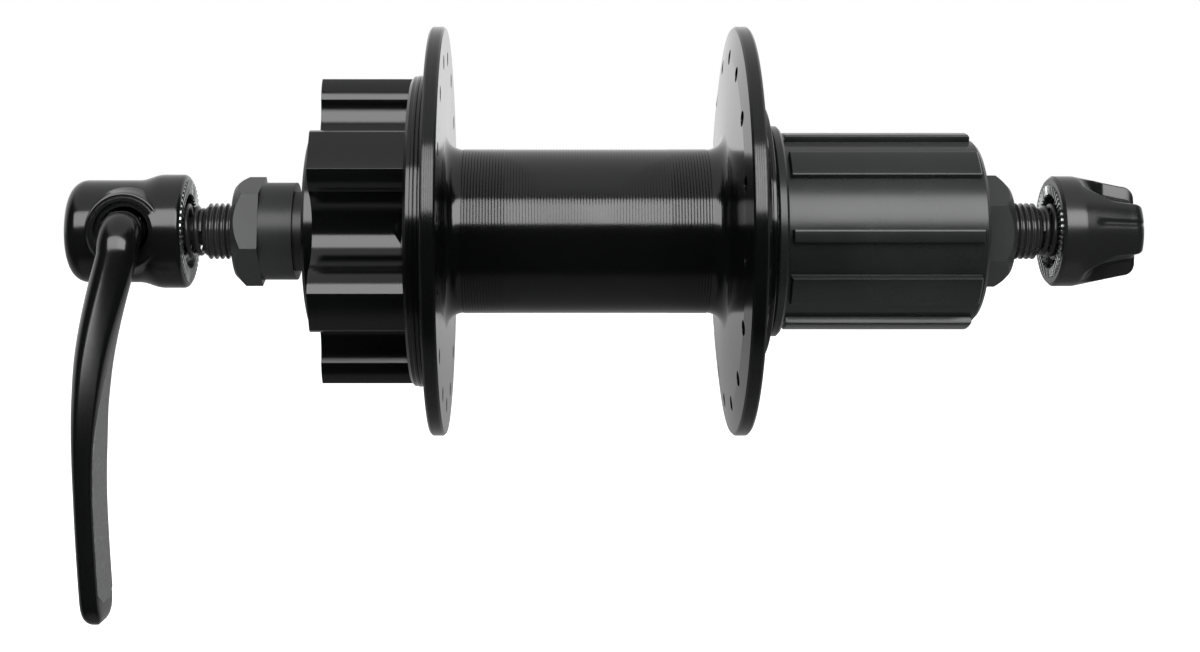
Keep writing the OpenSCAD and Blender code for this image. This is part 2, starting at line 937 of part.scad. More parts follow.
// A conical coil from x0, where its radius is r0, to x1, where it is r1
module conical_coil(x0, x1, r0, r1) {
    count = ceil(spring_turns * spring_steps);
    ring_points = [
        for (i = [0 : count])
            let (
                t = i / count,
                a = i * 360 / spring_steps,
                r = r0 + (r1 - r0) * t,
                x = x0 + (x1 - x0) * t
            )
            for (k = [0 : spring_sides - 1])
                let (
                    b = k * 360 / spring_sides,
                    rr = r + wire_r * cos(b)
                )
                [x + wire_r * sin(b), rr * cos(a), rr * sin(a)]
    ];
    walls = [
        for (i = [0 : count - 1])
            for (k = [0 : spring_sides - 1])
                let (
                    n = (k + 1) % spring_sides,
                    p = i * spring_sides,
                    q = p + spring_sides
                )
                each [[p + k, q + k, q + n], [p + k, q + n, p + n]]
    ];
    first = [for (k = [0 : spring_sides - 1]) k];
    last = [for (k = [spring_sides - 1 : -1 : 0]) count * spring_sides + k];
    polyhedron(points = ring_points, faces = concat(walls, [first], [last]));
}

module spring_left() {
    color("#9a9c9e")
    conical_coil(housing_x - spring_seat_depth + wire_r + spring_gap,
        axle_left_end - wire_r - spring_gap,
        spring_large_r, spring_small_r);
}

module spring_right() {
    color("#9a9c9e")
    conical_coil(axle_right_end + wire_r + spring_gap,
        nut_x + nut_seat_depth - wire_r - spring_gap,
        spring_small_r, spring_large_r);
}

// An upright slot shape: two circles apart along the second axis, joined
module upright_slot(r, reach) {
    for (up = [-1, 1])
        translate([0, up * reach])
        circle(r = r);
    square([2 * r, 2 * reach], center = true);
}

// Half section of the housing's rounded left end
module round_end_section() {
    difference() {
        translate([0, housing_end])
        square([housing_r, housing_round]);
        difference() {
            translate([housing_r - housing_round, housing_end - 1])
            square(housing_round + 1);
            translate([housing_r - housing_round, housing_end + housing_round])
            circle(r = housing_round);
        }
    }
}

module qr_housing() {
    color("#1b1c1c")
    difference() {
        union() {
            turned()
            round_end_section();
            turned()
            polygon([
                [0, housing_end + housing_round],
                [housing_r, housing_end + housing_round],
                [housing_r, housing_x - housing_neck_len],
                [housing_rim_r, housing_x - housing_rim_len],
                [housing_rim_r, housing_x - bevel],
                [housing_rim_r - bevel, housing_x],
                [0, housing_x]
            ]);
            translate([pivot_x, 0, 0])
            rod_y(-pivot_boss_y, pivot_boss_y, pivot_boss_r);
        }
        // Spring seat, toothed ring seat and the pocket of the rod's eye
        rod_x(housing_x - spring_seat_depth, housing_x + 1, spring_seat_r);
        rod_x(housing_x - teeth_t, housing_x + 1, housing_teeth_r);
        translate([pocket_x, -pocket_half_w, -pocket_half_h])
        cube([housing_x - pocket_x, 2 * pocket_half_w, 2 * pocket_half_h]);
        // Bores of the cam
        translate([pivot_x, 0, 0]) {
            rod_y(-pivot_boss_y - 1, cam_half_w + 0.2, journal_r + running);
            rod_y(0, pivot_boss_y + 1, back_journal_r + running);
            rod_y(-pivot_boss_y - 1, -pivot_boss_y + boss_recess_depth, boss_recess_r);
        }
    }
}

module housing_teeth() {
    color("#d8dadb")
    difference() {
        ring_x(housing_x - teeth_t, housing_x + teeth_proud, housing_teeth_r - snug, teeth_r_in);
        face_teeth(housing_x + teeth_proud, teeth_r_in, housing_teeth_r, teeth_count);
    }
}

// Lever outline: t runs from 0 below the elbow to 1 at the tip
function lever_t(i) = 1 - pow(1 - i / lever_steps, 2);
function lever_z(t) = -elbow_r - t * (lever_len - elbow_r);
function tip_round(t, share, depth) = t < 1 - share
    ? 1
    : sqrt(1 - depth * pow((t - 1 + share) / share, 2));
function lever_half_t(t) = (lever_root_r * (1 - t) + paddle_t / 2 * t)
    * tip_round(t, tip_share_t, 0.9);
function lever_mid_x(t) = pivot_x - lever_lean * sin(90 * min(1, t / lean_share))
    - lever_bow * sin(180 * t);
function lever_half_w(t) = (lever_root_r
    + (paddle_w / 2 - lever_root_r) * (0.5 - 0.5 * cos(180 * min(1, t / widen_share))))
    * tip_round(t, tip_share_w, 0.95);

module lever() {
    color("#1b1c1c")
    difference() {
        union() {
            translate([pivot_x, 0, 0]) {
                rod_y(-pivot_boss_y - 0.2, -cam_half_w, journal_r);
                rod_y(elbow_y - eps, -pivot_boss_y, lever_root_r);
                // Elbow: a quarter of a ring from the shaft to the handle
                translate([0, elbow_y, -elbow_r])
                rotate([90, 0, -90])
                rotate_extrude(angle = 90)
                translate([elbow_r, 0])
                circle(r = lever_root_r);
            }
            // Handle: its side outline crossed with its front outline
            intersection() {
                prism_y(lever_y - 20, lever_y + 20)
                polygon(concat(
                    [for (i = [0 : lever_steps])
                        let (t = lever_t(i))
                        [lever_mid_x(t) - lever_half_t(t), lever_z(t)]],
                    [for (i = [lever_steps : -1 : 0])
                        let (t = lever_t(i))
                        [lever_mid_x(t) + lever_half_t(t), lever_z(t)]]
                ));
                prism_x(pivot_x - 20, pivot_x + 20)
                polygon(concat(
                    [for (i = [0 : lever_steps])
                        let (t = lever_t(i))
                        [-lever_y + lever_half_w(t), lever_z(t)]],
                    [for (i = [lever_steps : -1 : 0])
                        let (t = lever_t(i))
                        [-lever_y - lever_half_w(t), lever_z(t)]]
                ));
            }
        }
        // Bore that the cam's shank is pressed in
        translate([pivot_x, 0, 0])
        rod_y(-pivot_boss_y - cam_shank_len - 0.2, 0, cam_shank_r);
    }
}

module lever_cam() {
    color("silver")
    translate([pivot_x, 0, 0]) {
        rod_y(-pivot_boss_y - cam_shank_len, -cam_half_w, cam_shank_r - snug);
        translate([-cam_throw, 0, 0])
        rod_y(-cam_half_w, cam_half_w, cam_r);
        rod_y(cam_half_w - eps, pivot_boss_y + 0.05, back_journal_r);
        rod_y(pivot_boss_y, pivot_boss_y + cam_screw_len, cam_screw_r);
    }
}

module cam_nut() {
    color("#2a2b2c")
    translate([pivot_x, 0, 0])
    difference() {
        rod_y(pivot_boss_y + cam_nut_gap, pivot_boss_y + cam_nut_gap + cam_nut_len, cam_nut_r);
        rod_y(pivot_boss_y - 1, pivot_boss_y + cam_screw_len + 0.1, cam_screw_r + snug);
        // Screwdriver slot
        translate([0, pivot_boss_y + cam_nut_gap + cam_nut_len, 0])
        cube([3 * cam_nut_r, 2 * cam_nut_slot_depth, cam_nut_slot_w], center = true);
    }
}

module skewer_rod() {
    color("#3a3b3c")
    difference() {
        union() {
            translate([eye_x, 0, 0])
            prism_y(-eye_half_w, eye_half_w)
            upright_slot(eye_slot_r + eye_wall, eye_reach);
            rod_x(eye_x + eye_slot_r + 0.6, rod_end, rod_r);
        }
        translate([eye_x, 0, 0])
        prism_y(-eye_half_w - 1, eye_half_w + 1)
        upright_slot(eye_slot_r, eye_reach);
    }
}

module flute_cut() {
    start = nut_x + nut_rim_len;
    length = nut_end - start + 1;
    translate([0, 0, -flute_half_w])
    linear_extrude(height = 2 * flute_half_w)
    polygon([
        [start, -nut_r],
        [start + length, -nut_r + flute_fall * length],
        [start + length, -nut_r - 2],
        [start, -nut_r - 2]
    ]);
}

module groove_cut() {
    start = nut_x + nut_rim_len + 1;
    end = nut_end - 1.6;
    fall = (nut_r - nut_nose_r) / (nut_end - nut_round - nut_x - nut_rim_len);
    low = nut_r - groove_depth;
    translate([0, 0, -groove_half_w])
    linear_extrude(height = 2 * groove_half_w)
    polygon([
        [start, -low + fall],
        [end, -low + fall * (end - start + 1)],
        [end, -nut_r - 1],
        [start, -nut_r - 1]
    ]);
}

module nut_shell() {
    color("#1b1c1c")
    difference() {
        turned() {
            polygon([
                [0, nut_x],
                [nut_r - 0.4, nut_x],
                [nut_r, nut_x + 0.4],
                [nut_r, nut_x + nut_rim_len],
                [nut_nose_r, nut_end - nut_round],
                [0, nut_end - nut_round]
            ]);
            translate([0, nut_end - nut_round - 1])
            square([nut_nose_r - nut_round, nut_round + 1]);
            intersection() {
                translate([nut_nose_r - nut_round, nut_end - nut_round])
                circle(r = nut_round);
                translate([0, nut_end - nut_round - 0.5])
                square(nut_r);
            }
        }
        rod_x(nut_x - 1, nut_x + nut_seat_depth + core_flange_t, spring_seat_r);
        rod_x(nut_x - 1, nut_x + teeth_t, nut_teeth_r);
        rod_x(nut_x, rod_end + rod_end_room, core_insert_r);
        for (i = [0 : flute_count - 1]) {
            at_turn(flute_turn + i * 360 / flute_count)
            flute_cut();
            at_turn(groove_turn + i * 360 / flute_count)
            groove_cut();
        }
    }
}

module nut_core() {
    color("#6b6d70")
    difference() {
        union() {
            rod_x(nut_x + nut_seat_depth, nut_x + nut_seat_depth + core_flange_t, spring_seat_r - snug);
            rod_x(nut_x + nut_seat_depth, core_insert_end, core_insert_r - snug);
        }
        rod_x(nut_x, nut_end, rod_r + snug);
    }
}

module nut_friction_ring() {
    color("ivory")
    ring_x(core_insert_end, core_insert_end + friction_t, core_insert_r - snug, rod_r + snug);
}

module nut_teeth() {
    color("#d8dadb")
    difference() {
        ring_x(nut_x - teeth_proud, nut_x + teeth_t, nut_teeth_r - snug, teeth_r_in);
        face_teeth(nut_x - teeth_proud, teeth_r_in, nut_teeth_r, teeth_count);
    }
}

axle();
locknut_left();
locknut_right();
collar_left();
washer_right();
cone_left();
cone_right();
cone_seal_left();
cone_seal_right();
hub_shell();
cup_left();
dust_cap_left();
dust_cap_right();
fixing_bolt();
freehub_core();
race_ring();
pawl_spring();
balls_left();
balls_right();
freehub_body();
freehub_seal();
freehub_balls_inner();
freehub_balls_outer();
pawl_a();
pawl_b();
spring_left();
qr_housing();
housing_teeth();
lever();
lever_cam();
cam_nut();
skewer_rod();
spring_right();
nut_shell();
nut_core();
nut_teeth();
nut_friction_ring();
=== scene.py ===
# %% [markdown]
# # A rear hub with its quick release
#
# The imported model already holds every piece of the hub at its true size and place. It is the
# frame, and it stays as it is. This notebook gives each piece its finish, and models again the
# pieces whose small forms the eye looks for: threads, turning lines, splines and forged levers.

# %% Load the frame
import math

import bmesh
import bpy
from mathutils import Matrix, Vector


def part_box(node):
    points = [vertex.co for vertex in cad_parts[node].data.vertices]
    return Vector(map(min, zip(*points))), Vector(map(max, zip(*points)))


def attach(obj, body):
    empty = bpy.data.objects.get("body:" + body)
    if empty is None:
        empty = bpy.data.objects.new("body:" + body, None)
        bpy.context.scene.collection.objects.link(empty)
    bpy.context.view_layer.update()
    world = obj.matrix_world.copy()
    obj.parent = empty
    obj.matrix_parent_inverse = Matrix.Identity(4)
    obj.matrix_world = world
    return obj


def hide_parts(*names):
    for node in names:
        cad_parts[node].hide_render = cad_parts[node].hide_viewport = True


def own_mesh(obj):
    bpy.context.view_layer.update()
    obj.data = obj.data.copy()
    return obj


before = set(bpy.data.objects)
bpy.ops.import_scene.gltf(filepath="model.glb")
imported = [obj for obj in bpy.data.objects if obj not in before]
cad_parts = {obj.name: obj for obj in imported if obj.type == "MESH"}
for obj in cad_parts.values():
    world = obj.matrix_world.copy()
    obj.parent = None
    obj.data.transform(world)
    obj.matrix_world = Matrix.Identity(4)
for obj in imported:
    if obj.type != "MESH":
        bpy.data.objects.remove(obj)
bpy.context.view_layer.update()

# %% [markdown]
# Blender works in metres, but such small parts are drawn in millimetres. So every size below is
# in millimetres, and the helpers turn it into metres. The frame gives the places: `span` reads
# where a piece begins and ends along X, Y or Z.

# %% Places that the frame gives
mm = 0.001
seam = 0.002 * mm
X, Y, Z = 0, 1, 2


def span(node, axis):
    """Lowest and highest place of a piece along an axis."""
    low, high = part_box(node)
    return low[axis] / mm, high[axis] / mm


flange_r = span("hub_shell", Z)[1]
axle_x0, axle_x1 = span("axle", X)
left_face = span("locknut_left", X)[0]
right_face = span("locknut_right", X)[1]
free_x0, free_x1 = span("freehub_body", X)
housing_x0, housing_x1 = span("qr_housing", X)
nut_x0, nut_x1 = span("nut_shell", X)
lever_tip_z = span("lever", Z)[0]
pivot_x = sum(span("cam_nut", X)) / 2
print(f"dropout faces at {left_face:.1f} and {right_face:.1f} mm, pivot at {pivot_x:.1f} mm")

# %% [markdown]
# Almost every piece here came off a lathe, so the first helper works like one. A single point is
# drawn along half an outline by extruding it from point to point, and the finished line is then
# spun round the axle. The ends of a closed outline meet, and merging doubles seals the seam.
# A Screw modifier could do the same, but spun faces are real at once and can be cut and bevelled.

# %% Helper: turn a piece on the lathe
def deselect():
    if bpy.context.object and bpy.context.object.mode != "OBJECT":
        bpy.ops.object.mode_set(mode="OBJECT")
    bpy.ops.object.select_all(action="DESELECT")


def take(piece):
    deselect()
    piece.select_set(True)
    bpy.context.view_layer.objects.active = piece


def clean_up():
    """In edit mode: seal the seams and turn every face outwards."""
    bpy.ops.mesh.select_all(action="SELECT")
    bpy.ops.mesh.remove_doubles(threshold=seam)
    bpy.ops.mesh.normals_make_consistent(inside=False)
    bpy.ops.object.mode_set(mode="OBJECT")


def turned(name, outline, steps=160, centre=(0, 0, 0), axis="X"):
    """Spin a closed outline of (place along the axis, radius) points about an axis."""
    deselect()
    bpy.ops.mesh.primitive_plane_add(size=mm)
    piece = bpy.context.object
    piece.name = name
    bpy.ops.object.mode_set(mode="EDIT")
    bpy.ops.mesh.select_all(action="SELECT")
    bpy.ops.mesh.merge(type="CENTER")
    along, out = (X, Z) if axis == "X" else (Y, Z)

    def point(p):
        v = Vector(centre)
        v[along] += p[0]
        v[out] += p[1]
        return v * mm

    bpy.ops.transform.translate(value=point(outline[0]))
    here = point(outline[0])
    for p in outline[1:] + outline[:1]:
        step = point(p) - here
        bpy.ops.mesh.extrude_region_move(TRANSFORM_OT_translate={"value": step})
        here = point(p)
    bpy.ops.mesh.select_all(action="SELECT")
    bpy.ops.mesh.remove_doubles(threshold=seam)
    spin_axis = (1, 0, 0) if axis == "X" else (0, 1, 0)
    bpy.ops.mesh.spin(steps=steps, angle=2 * math.pi, center=Vector(centre) * mm, axis=spin_axis)
    clean_up()
    return piece


def arc_points(x, r, radius, start, end, count=8):
    """Points of a fillet: an arc about (x, r), with angles counted from the axis direction."""
    turns = [math.radians(start + (end - start) * i / count) for i in range(count + 1)]
    return [(x + radius * math.cos(a), r + radius * math.sin(a)) for a in turns]


# %% [markdown]
# Forged and fluted pieces change their section along their length. For those, one ring of points
# is drawn and extruded again and again, and after each extrusion the new ring is moved to the
# shape that it has there. This is lofting, done with the extrude tool.

# %% Helper: loft a piece through rings
def key(co):
    return tuple(round(c / mm, 4) for c in co)


def loft(name, rings):
    """Extrude a ring of points through a row of rings, in millimetres, with a face at each end."""
    deselect()
    bpy.ops.mesh.primitive_circle_add(vertices=len(rings[0]), radius=mm)
    piece = bpy.context.object
    piece.name = name
    for vertex, p in zip(piece.data.vertices, rings[0]):
        vertex.co = Vector(p) * mm
    order = {key(Vector(p) * mm): i for i, p in enumerate(rings[0])}
    bpy.ops.object.mode_set(mode="EDIT")
    bpy.ops.mesh.select_all(action="SELECT")
    bpy.ops.mesh.edge_face_add()
    for ring in rings[1:]:
        bpy.ops.mesh.extrude_edges_move()
        mesh = bmesh.from_edit_mesh(piece.data)
        moved = {}
        for v in [v for v in mesh.verts if v.select]:
            i = order[key(v.co)]
            v.co = Vector(ring[i]) * mm
            moved[key(v.co)] = i
        order = moved
        bmesh.update_edit_mesh(piece.data)
    bpy.ops.mesh.edge_face_add()
    clean_up()
    return piece


# %% [markdown]
# Every finished piece then goes the same way: its place is applied into its mesh, its round faces
# are shaded smooth while its edges stay crisp, it gets its finish, and it is told which body of
# the frame carries it and which plain pieces of the frame it stands for.

# %% Helpers: cut, join and finish a piece
def apply_modifier(piece, kind, **settings):
    take(piece)
    modifier = piece.modifiers.new(kind.lower(), kind)
    for name, value in settings.items():
        setattr(modifier, name, value)
    bpy.ops.object.modifier_apply(modifier=modifier.name)


def combine(piece, other, how):
    """Cut the other piece away from this one, or weld it on."""
    apply_modifier(piece, "BOOLEAN", object=other, operation=how, solver="EXACT")
    bpy.data.objects.remove(other)
    return piece


def join(name, pieces):
    take(pieces[0])
    for piece in pieces[1:]:
        piece.select_set(True)
    bpy.ops.object.join()
    pieces[0].name = name
    return pieces[0]


def finish(piece, body, material, stands_for=(), crease=35):
    take(piece)
    bpy.ops.object.transform_apply(location=True, rotation=True, scale=True)
    bpy.ops.object.shade_smooth_by_angle(angle=math.radians(crease))
    piece.data.materials.clear()
    piece.data.materials.append(material)
    if stands_for:
        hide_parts(*stands_for)
    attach(piece, body)
    print(f"{piece.name}: {len(piece.data.polygons)} faces, on {body}")
    return piece


# %% [markdown]
# ## Finishes
#
# Black anodising is a thin, hard, glossy skin: dark, but with a clear reflection that grows
# towards grazing angles. Under it the tool's turning lines stay, so the finish adds very fine
# rings about the axle, as a bump. They follow X on a cylinder and the radius on a flat face, so
# the two are added before they reach the wave. Slight unevenness in the gloss keeps it from
# looking like plastic.

# %% Helper: one finish with its own grain
def finish_material(name, colour, rough, metallic=0.0, lines=0.0, pitch=0.35,
                    grain=0.0, grain_size=0.6, mottle=0.15, patch=11.0, edge=0.12, specular=0.5):
    """A principled finish: turning lines, cast grain and a soft edge, all from object coordinates."""
    material = bpy.data.materials.new(name)
    material.use_nodes = True
    nodes, links = material.node_tree.nodes, material.node_tree.links
    shader = nodes["Principled BSDF"]
    shader.inputs["Metallic"].default_value = metallic
    shader.inputs["Specular IOR Level"].default_value = specular
    where = nodes.new("ShaderNodeTexCoord").outputs["Object"]

    patches = nodes.new("ShaderNodeTexNoise")
    patches.inputs["Scale"].default_value = 1 / (patch * mm)
    patches.inputs["Detail"].default_value = 4
    links.new(where, patches.inputs["Vector"])
    tint = nodes.new("ShaderNodeMixRGB")
    tint.inputs["Color1"].default_value = (*[c * (1 - mottle) for c in colour], 1)
    tint.inputs["Color2"].default_value = (*[min(1, c * (1 + mottle)) for c in colour], 1)
    links.new(patches.outputs["Fac"], tint.inputs["Fac"])
    links.new(tint.outputs["Color"], shader.inputs["Base Color"])
    gloss = nodes.new("ShaderNodeMapRange")
    gloss.inputs["To Min"].default_value = max(0.02, rough * (1 - mottle))
    gloss.inputs["To Max"].default_value = rough * (1 + mottle)
    links.new(patches.outputs["Fac"], gloss.inputs["Value"])
    links.new(gloss.outputs["Result"], shader.inputs["Roughness"])

    soft_edge = nodes.new("ShaderNodeBevel")
    soft_edge.samples = 4
    soft_edge.inputs["Radius"].default_value = edge * mm
    normal = soft_edge.outputs["Normal"]
    if lines:
        normal = add_lines(nodes, links, where, normal, lines, pitch)
    if grain:
        normal = add_grain(nodes, links, where, normal, grain, grain_size)
    links.new(normal, shader.inputs["Normal"])
    return material


def add_lines(nodes, links, where, normal, strength, pitch):
    """Fine rings about the axle, as a cutting tool leaves them."""
    split = nodes.new("ShaderNodeSeparateXYZ")
    links.new(where, split.inputs["Vector"])
    square = []
    for side in ("Y", "Z"):
        power = nodes.new("ShaderNodeMath")
        power.operation = "MULTIPLY"
        links.new(split.outputs[side], power.inputs[0])
        links.new(split.outputs[side], power.inputs[1])
        square.append(power.outputs[0])
    total = nodes.new("ShaderNodeMath")
    total.operation = "ADD"
    links.new(square[0], total.inputs[0])
    links.new(square[1], total.inputs[1])
    radius = nodes.new("ShaderNodeMath")
    radius.operation = "SQRT"
    links.new(total.outputs[0], radius.inputs[0])
    path = nodes.new("ShaderNodeMath")
    path.operation = "ADD"
    links.new(radius.outputs[0], path.inputs[0])
    links.new(split.outputs["X"], path.inputs[1])
    phase = nodes.new("ShaderNodeMath")
    phase.operation = "MULTIPLY"
    phase.inputs[1].default_value = 2 * math.pi / (pitch * mm)
    links.new(path.outputs[0], phase.inputs[0])
    wave = nodes.new("ShaderNodeMath")
    wave.operation = "SINE"
    links.new(phase.outputs[0], wave.inputs[0])
    bump = nodes.new("ShaderNodeBump")
    bump.inputs["Strength"].default_value = strength
    bump.inputs["Distance"].default_value = 0.01 * mm
    links.new(wave.outputs[0], bump.inputs["Height"])
    links.new(normal, bump.inputs["Normal"])
    return bump.outputs["Normal"]


def add_grain(nodes, links, where, normal, strength, size):
    """The small unevenness of a cast, forged or blasted surface."""
    noise = nodes.new("ShaderNodeTexNoise")
    noise.inputs["Scale"].default_value = 1 / (size * mm)
    noise.inputs["Detail"].default_value = 3
    links.new(where, noise.inputs["Vector"])
    bump = nodes.new("ShaderNodeBump")
    bump.inputs["Strength"].default_value = strength
    bump.inputs["Distance"].default_value = 0.03 * mm
    links.new(noise.outputs["Fac"], bump.inputs["Height"])
    links.new(normal, bump.inputs["Normal"])
    return bump.outputs["Normal"]


# %% The finishes of this hub
black = (0.0014, 0.0015, 0.0016)
shell_black = finish_material("shell_black", black, 0.13, lines=0.25, pitch=0.5)
mount_black = finish_material("mount_black", black, 0.12, grain=0.05, grain_size=1.2)
forged_black = finish_material("forged_black", (0.0025, 0.0026, 0.0027), 0.17, grain=0.10, grain_size=1.5)
nut_black = finish_material("nut_black", (0.006, 0.0062, 0.0064), 0.24, grain=0.08, grain_size=0.8)
spline_black = finish_material("spline_black", (0.006, 0.0066, 0.0066), 0.26,
                               grain=0.12, grain_size=0.5, mottle=0.3, edge=0.1, specular=0.42)
panel_grey = finish_material("panel_grey", (0.07, 0.071, 0.073), 0.5,
                             grain=1.0, grain_size=0.5, mottle=0.9, patch=0.7)
# The cones are coloured near black so that the narrow gap between the collar and the disc mount stays dark:
# this is painted shade on the cones.
cone_painted_shade = finish_material("cone_painted_shade", (0.01, 0.01, 0.01), 0.35, metallic=0.3)
thread_steel = finish_material("thread_steel", (0.02, 0.02, 0.02), 0.22, metallic=0.3, mottle=0.4, edge=0.03)
locknut_satin = finish_material("locknut_satin", (0.012, 0.0125, 0.0125), 0.36, lines=0.3, pitch=0.3,
                                grain=0.1, grain_size=0.3, specular=0.32)
spring_dark = finish_material("spring_dark", (0.02, 0.02, 0.02), 0.25, metallic=0.5, edge=0.03)
bright_steel = finish_material("bright_steel", (0.62, 0.64, 0.63), 0.22, metallic=1.0, edge=0.05)
bearing_steel = finish_material("bearing_steel", (0.50, 0.50, 0.51), 0.2, metallic=1.0, lines=0.4, pitch=0.25)
ball_steel = finish_material("ball_steel", (0.75, 0.75, 0.76), 0.05, metallic=1.0)
core_steel = finish_material("core_steel", (0.30, 0.30, 0.31), 0.33, metallic=1.0, lines=0.5, pitch=0.3)
zinc_steel = finish_material("zinc_steel", (0.16, 0.16, 0.17), 0.35, metallic=0.9, mottle=0.3)
cap_black = finish_material("cap_black", (0.008, 0.008, 0.008), 0.3, lines=0.3)
seal_rubber = finish_material("seal_rubber", (0.006, 0.006, 0.006), 0.6, grain=0.3, grain_size=0.3)
nylon = finish_material("nylon", (0.62, 0.60, 0.53), 0.5, grain=0.1)

# %% [markdown]
# Most pieces of the frame keep their own shape and only need their finish. One table says which
# piece gets which, so that no piece is forgotten, and its length is printed as a check.

# %% Give every piece of the frame its finish
finishes = {
    shell_black: ["hub_shell"],
    forged_black: ["qr_housing", "lever"],
    nut_black: ["nut_shell"],
    spline_black: ["freehub_body"],
    thread_steel: ["axle", "skewer_rod", "cam_nut"],
    locknut_satin: ["locknut_left", "locknut_right", "collar_left", "washer_right"],
    cone_painted_shade: ["cone_left", "cone_right"],
    bearing_steel: ["cup_left", "race_ring", "fixing_bolt", "lever_cam", "pawl_a", "pawl_b"],
    core_steel: ["freehub_core"],
    ball_steel: ["balls_left", "balls_right", "freehub_balls_inner", "freehub_balls_outer"],
    spring_dark: ["spring_left", "spring_right", "pawl_spring"],
    bright_steel: ["housing_teeth", "nut_teeth"],
    zinc_steel: ["nut_core"],
    nylon: ["nut_friction_ring"],
    seal_rubber: ["cone_seal_left", "cone_seal_right", "freehub_seal"],
    cap_black: ["dust_cap_left", "dust_cap_right"],
}
for material, names in finishes.items():
    for name in names:
        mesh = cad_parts[name].data
        mesh.materials.clear()
        mesh.materials.append(material)
print(sum(len(names) for names in finishes.values()), "pieces have a finish")

# %% [markdown]
# ## The barrel's turning lines
#
# The barrel is turned with a coarse feed, and the rings that it leaves catch the light as fine
# bright lines. Near both flanges the tool bites deeper. A bump would fade in the reflections, so
# the rings are real: a thin turned sleeve whose crests stand a few hundredths over the barrel.

# %% Model the turned sleeve of the barrel
barrel_r = 14.35
left_flange_in = left_face + 36.8
right_flange_in = right_face - 48.3
fillet = 3.0
dish = 1.4
line_pitch = 0.52
deep_zone = 7.0


def ring_lines(x0, x1, root_r, pitch, depth_at):
    """Crests and roots of a row of fine rings from x0 to x1."""
    count = round((x1 - x0) / pitch)
    points = []
    for i in range(count):
        x = x0 + (x1 - x0) * i / count
        step = (x1 - x0) / count
        depth = depth_at(x)
        points += [(x, root_r), (x + 0.2 * step, root_r + depth), (x + 0.8 * step, root_r + depth)]
    return points + [(x1, root_r)]


sleeve_x0 = left_flange_in + fillet
sleeve_x1 = right_flange_in - dish - fillet


def barrel_depth(x):
    from_end = min(x - sleeve_x0, sleeve_x1 - x)
    return 0.07 if from_end < deep_zone else 0.045


sleeve_outline = ring_lines(sleeve_x0, sleeve_x1, barrel_r + 0.01, line_pitch, barrel_depth)
sleeve_outline += [(sleeve_x1, barrel_r - 0.3), (sleeve_x0, barrel_r - 0.3)]
barrel_sleeve = turned("barrel_sleeve", sleeve_outline, steps=144)
finish(barrel_sleeve, "shell", shell_black, crease=8)

# %% [markdown]
# ## Flange rims
#
# Each rim is finished with four fine grooves. A narrow band with the same kind of rings goes
# round each flange.

# %% Model the grooved rims
flange_t = 2.5
rim_bevel = 0.35
for side, x0 in (("left", left_flange_in - flange_t), ("right", right_flange_in)):
    start, end = x0 + rim_bevel + 0.05, x0 + flange_t - rim_bevel - 0.05
    outline = ring_lines(start, end, flange_r - 0.01, 0.36, lambda x: 0.06)
    outline += [(end, flange_r - 0.3), (start, flange_r - 0.3)]
    rim = turned(f"rim_{side}", outline, steps=220)
    finish(rim, "shell", shell_black, crease=8)

# %% [markdown]
# ## Axle
#
# The axle is a hollow bar with a fine thread. At this size a thread and a row of equal V grooves
# look alike, and grooves can be turned in one pass. Only the ends show, so only they have it.

# %% Model the axle with its threads
axle_r = 4.95
axle_bore_r = 2.75
thread_pitch = 1.0
thread_depth = 0.55
thread_reach = 9.0


def thread_points(x0, x1):
    count = round((x1 - x0) / thread_pitch)
    points = []
    for i in range(count):
        x = x0 + i * thread_pitch
        points += [(x + 0.12, axle_r - thread_depth), (x + 0.44, axle_r - 0.02),
                   (x + 0.56, axle_r - 0.02), (x + 0.88, axle_r - thread_depth)]
    return points


axle_outline = [(axle_x0, axle_bore_r + 0.3), (axle_x0, axle_r - 0.8)]
axle_outline += thread_points(axle_x0 + 0.3, axle_x0 + 0.3 + thread_reach)
axle_outline += thread_points(axle_x1 - 0.3 - thread_reach, axle_x1 - 0.3)
axle_outline += [(axle_x1, axle_r - 0.8), (axle_x1, axle_bore_r + 0.3),
                 (axle_x1 - 0.3, axle_bore_r), (axle_x0 + 0.3, axle_bore_r)]
hollow_axle = turned("hollow_axle", axle_outline, steps=96)
finish(hollow_axle, "axle_assembly", thread_steel, ["axle"], crease=25)

# %% [markdown]
# ## Springs
#
# Two cone-shaped springs keep the skewer centred. Their end turns lie flat, so the rise along
# the coil is slow at both ends and fast between. The wire is a loft of small rings.

# %% Model the two springs
wire_r = 0.45
spring_turns = 4.5
steps_a_turn = 28


def coil_rings(x0, r0, x1, r1):
    rings = []
    count = int(spring_turns * steps_a_turn)
    for i in range(count + 1):
        t = i / count
        rise = t * t * (3 - 2 * t)
        x, r = x0 + (x1 - x0) * rise, r0 + (r1 - r0) * t
        a = 2 * math.pi * i / steps_a_turn
        ring = []
        for k in range(12):
            b = 2 * math.pi * k / 12
            out = r + wire_r * math.cos(b)
            ring.append((x + wire_r * math.sin(b), out * math.cos(a), out * math.sin(a)))
        rings.append(ring)
    return rings


left_seat, left_tip = span("spring_left", X)[0] + wire_r, axle_x0 - wire_r - 0.1
right_seat, right_tip = span("spring_right", X)[1] - wire_r, axle_x1 + wire_r + 0.1
coil_left = loft("coil_left", coil_rings(left_seat, 5.5, left_tip, 3.55))
finish(coil_left, "left_spring", spring_dark, ["spring_left"], crease=60)
coil_right = loft("coil_right", coil_rings(right_seat, 5.5, right_tip, 3.55))
finish(coil_right, "right_spring", spring_dark, ["spring_right"], crease=60)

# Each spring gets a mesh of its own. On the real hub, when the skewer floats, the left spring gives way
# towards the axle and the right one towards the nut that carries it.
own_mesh(coil_left)
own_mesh(coil_right)

# %% [markdown]
# ## Toothed rings
#
# A bright ring of fine teeth bites into each dropout. It is a flat turned ring, and in its face
# every second row of points is pulled back, which gives the teeth.

# %% Model the toothed rings
teeth = 48
rows_a_tooth = 4
tooth_depth = 0.35


